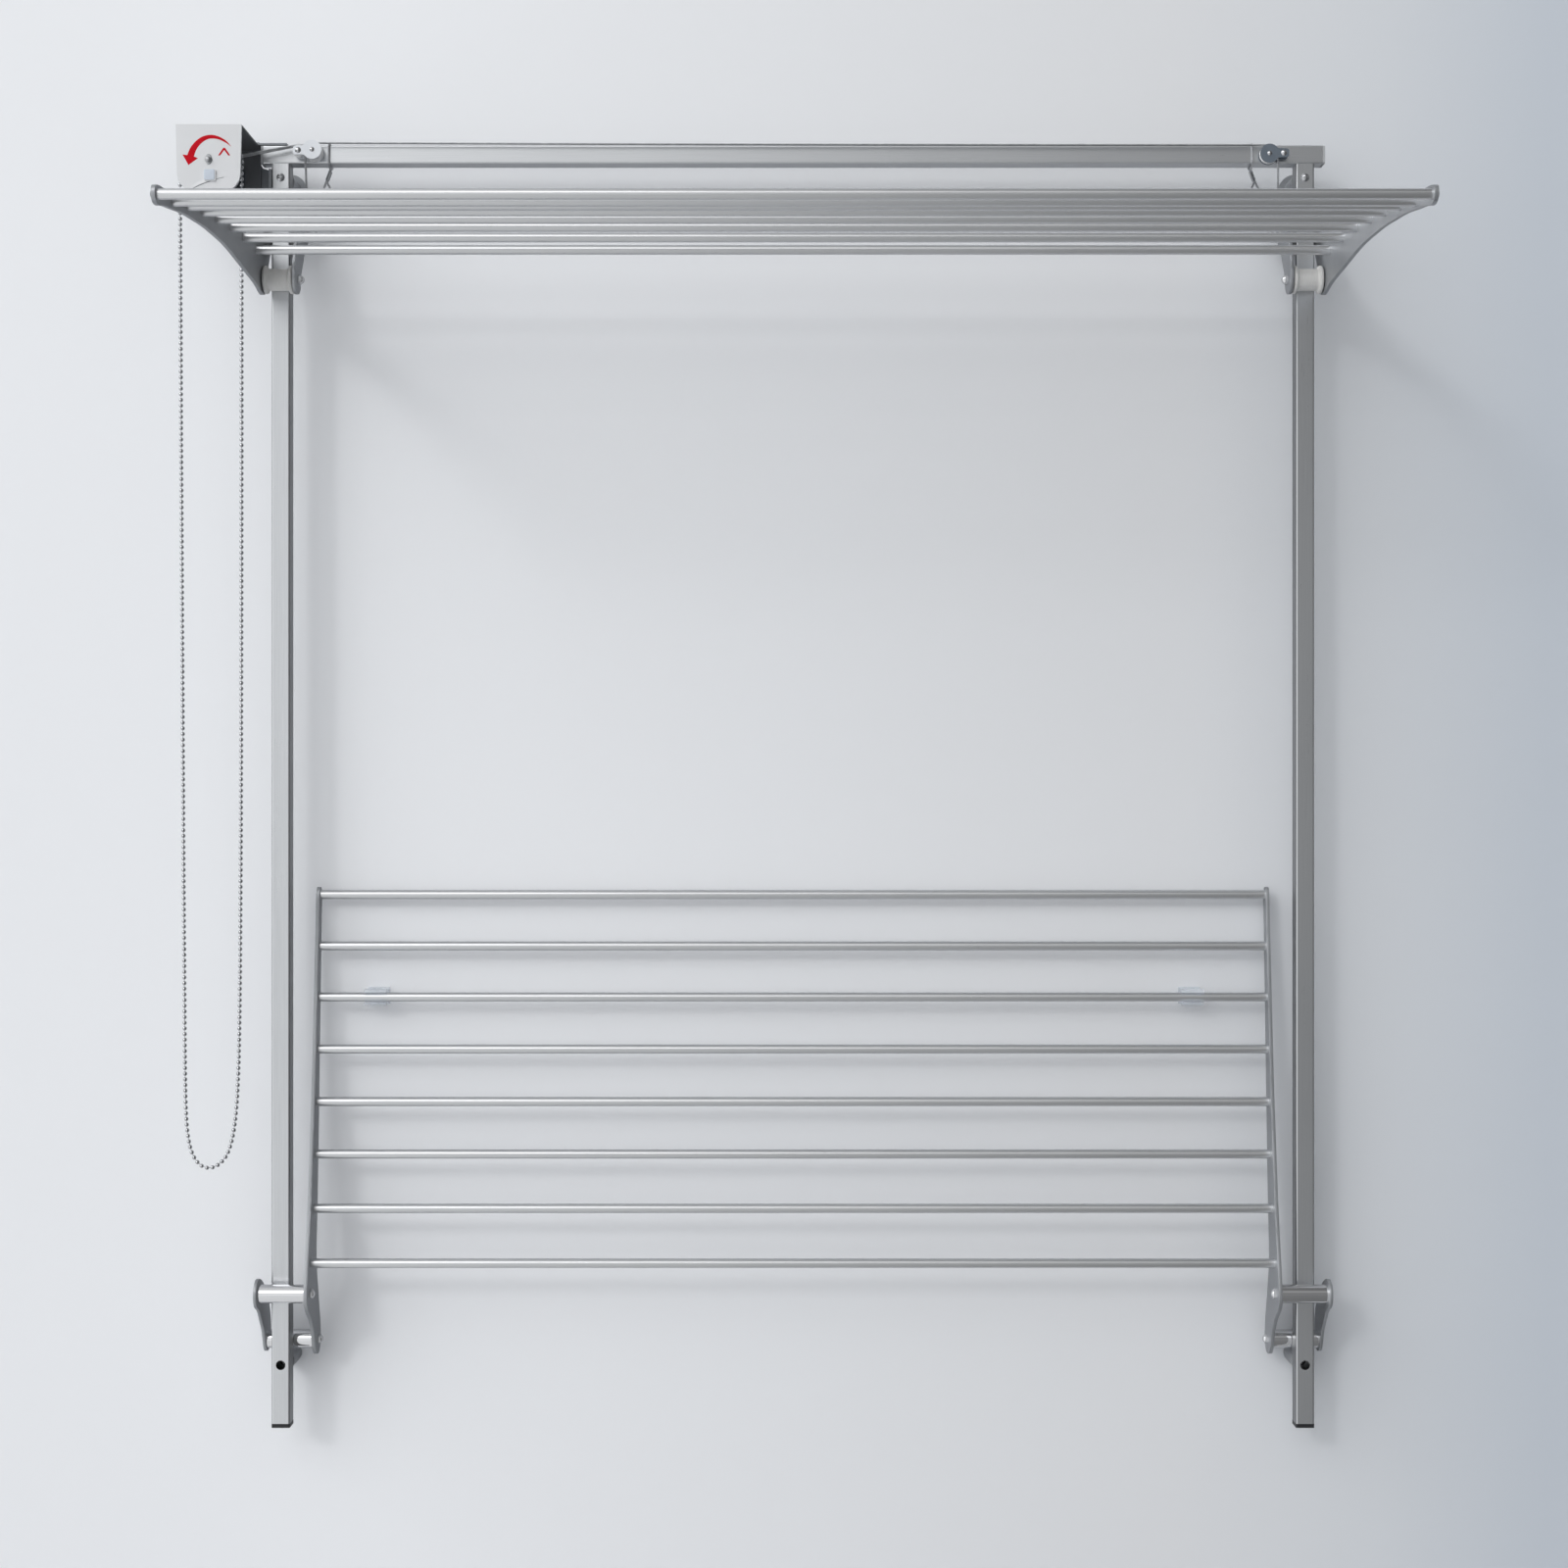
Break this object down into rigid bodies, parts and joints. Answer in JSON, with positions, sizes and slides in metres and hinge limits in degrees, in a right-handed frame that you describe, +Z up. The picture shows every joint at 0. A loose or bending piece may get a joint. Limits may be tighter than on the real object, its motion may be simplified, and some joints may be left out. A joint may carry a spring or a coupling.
{
  "type": "wall mounted fold down drying rack",
  "caption": "Wall drying rack: posts and beam on standoffs, an upper rod rack raised by a bead chain winch on cables, and a lower rod rack that folds up flat.",
  "frame": {"origin": "centre of the rectangle of the four wall screws, on the wall plane", "axes": "+Y into the wall, -Y to the user, +Z up, +X to the user's right"},
  "size_m": [1.237, 0.547, 1.4038],
  "materials": {
    "post_aluminium": "satin anodised extrusion",
    "grey_plastic": "moulded, fine grain",
    "black_plastic": "moulded",
    "zinc_screw": "zinc plated",
    "standoff_metal": "turned, satin",
    "chrome_screw": "bright plated",
    "clip_plastic": "frosted, slightly translucent",
    "cover_paint": "fine textured powder coat",
    "bracket_metal": "powder coat",
    "steel": "bright steel",
    "wheel_plastic": "moulded",
    "cable_steel": "stranded wire rope",
    "spring_steel": "spring wire",
    "bead_chain": "nickel plated beads",
    "cheek_paint": "smooth coat",
    "sheave_plastic": "acetal",
    "roller_plastic": "moulded acetal",
    "blade_metal": "satin metallic coat",
    "rod_aluminium": "polished tube",
    "tube_chrome": "polished"
  },
  "bodies": {
    "frame": {"left_post": "post_aluminium", "right_post": "post_aluminium", "top_beam": "post_aluminium", "beam_end_caps": "grey_plastic", "post_end_caps": "black_plastic", "corner_plugs": "grey_plastic", "corner_screws": "zinc_screw", "wall_standoffs": "standoff_metal", "wall_screws": "chrome_screw", "wall_clips": "clip_plastic", "wall_clip_screws": "zinc_screw", "winch_housing": "cover_paint", "winch_bracket": "bracket_metal", "winch_tie_plate": "bracket_metal", "winch_screws": "zinc_screw", "winch_axle": "steel", "brake_spring": "spring_steel", "bead_chain": "bead_chain", "bead_chain_on_wheel": "bead_chain", "left_pulley_cheeks": "cheek_paint", "right_pulley_cheeks": "cheek_paint", "left_pulley_pins": "steel", "right_pulley_pins": "steel", "cable_winch_run": "cable_steel", "cable_cross_run": "cable_steel", "beam_cable_loops": "cable_steel", "cable_drops_left": "cable_steel", "cable_drops_right": "cable_steel"},
    "winch_rotor": {"chain_wheel": "wheel_plastic", "cable_drum": "wheel_plastic", "wound_cable": "cable_steel"},
    "left_sheave": {"left_sheave": "sheave_plastic"},
    "left_guide": {"left_guide_roller": "sheave_plastic"},
    "right_sheave": {"right_sheave": "sheave_plastic"},
    "upper_carriage": {"rear_axle_bolts": "steel", "rear_acorn_nuts": "chrome_screw", "cable_guides": "sheave_plastic"},
    "rear_roller_l": {"rear_roller_left": "roller_plastic"},
    "rear_roller_r": {"rear_roller_right": "roller_plastic"},
    "upper_rack": {"upper_blade_left": "blade_metal", "upper_blade_right": "blade_metal", "upper_brackets": "blade_metal", "upper_rods": "rod_aluminium", "upper_rod_screws": "chrome_screw", "upper_rod_caps": "grey_plastic", "front_axle_bolts": "steel", "front_acorn_nuts": "chrome_screw"},
    "front_roller_l": {"front_roller_left": "roller_plastic"},
    "front_roller_r": {"front_roller_right": "roller_plastic"},
    "lower_rack": {"lower_blade_left": "blade_metal", "lower_blade_right": "blade_metal", "lower_brackets": "blade_metal", "lower_rods": "rod_aluminium", "lower_rod_screws": "chrome_screw", "lower_rear_tubes": "tube_chrome", "lower_front_tubes": "tube_chrome", "lower_bolts": "chrome_screw", "lower_acorn_nuts": "chrome_screw"}
  },
  "joints": [
    {"name": "upper_lift", "type": "slide", "parent": "frame", "child": "upper_carriage", "axis": [0, 0, 1], "range_m": [-0.65, 0], "deforming": ["cable_drops_left", "cable_drops_right"]},
    {"name": "upper_fold", "type": "hinge", "parent": "upper_carriage", "child": "upper_rack", "pos_m": [0, -0.028, 0.5922], "axis": [-1, 0, 0], "range_deg": [0, 65]},
    {"name": "lower_fold", "type": "hinge", "parent": "frame", "child": "lower_rack", "pos_m": [0, -0.0297, -0.6256], "axis": [1, 0, 0], "range_deg": [0, 108]},
    {"name": "winch_turn", "type": "hinge", "parent": "frame", "child": "winch_rotor", "pos_m": [-0.61775, -0.1, 0.6459], "axis": [0, 1, 0], "range_deg": [-30, 4491]},
    {"name": "left_sheave_turn", "type": "hinge", "parent": "frame", "child": "left_sheave", "pos_m": [-0.5209, -0.0661, 0.6734], "axis": [0, 1, 0], "range_deg": [-30, 7442]},
    {"name": "left_guide_turn", "type": "hinge", "parent": "frame", "child": "left_guide", "pos_m": [-0.536, -0.0731, 0.6726], "axis": [0, 1, 0], "range_deg": [-30, 10904]},
    {"name": "right_sheave_turn", "type": "hinge", "parent": "frame", "child": "right_sheave", "pos_m": [0.5176, -0.0667, 0.671], "axis": [0, 1, 0], "range_deg": [-30, 7442]},
    {"name": "rear_roller_l_turn", "type": "hinge", "parent": "upper_carriage", "child": "rear_roller_l", "pos_m": [-0.5575, -0.028, 0.5922], "axis": [1, 0, 0], "range_deg": [-3200, 30]},
    {"name": "front_roller_l_turn", "type": "hinge", "parent": "upper_rack", "child": "front_roller_l", "pos_m": [-0.5575, -0.072, 0.5332], "axis": [1, 0, 0], "range_deg": [-30, 3200]},
    {"name": "rear_roller_r_turn", "type": "hinge", "parent": "upper_carriage", "child": "rear_roller_r", "pos_m": [0.5575, -0.028, 0.5922], "axis": [1, 0, 0], "range_deg": [-3200, 30]},
    {"name": "front_roller_r_turn", "type": "hinge", "parent": "upper_rack", "child": "front_roller_r", "pos_m": [0.5575, -0.072, 0.5332], "axis": [1, 0, 0], "range_deg": [-30, 3200]}
  ],
  "couplings": [
    {"joint": "winch_turn", "follows": "upper_lift", "rad_per_m": -119.76},
    {"joint": "left_sheave_turn", "follows": "upper_lift", "rad_per_m": -199},
    {"joint": "left_guide_turn", "follows": "upper_lift", "rad_per_m": -291.97},
    {"joint": "right_sheave_turn", "follows": "upper_lift", "rad_per_m": -199},
    {"joint": "rear_roller_l_turn", "follows": "upper_lift", "rad_per_m": 85.106},
    {"joint": "front_roller_l_turn", "follows": "upper_lift", "rad_per_m": -85.106},
    {"joint": "rear_roller_r_turn", "follows": "upper_lift", "rad_per_m": 85.106},
    {"joint": "front_roller_r_turn", "follows": "upper_lift", "rad_per_m": -85.106}
  ]
}
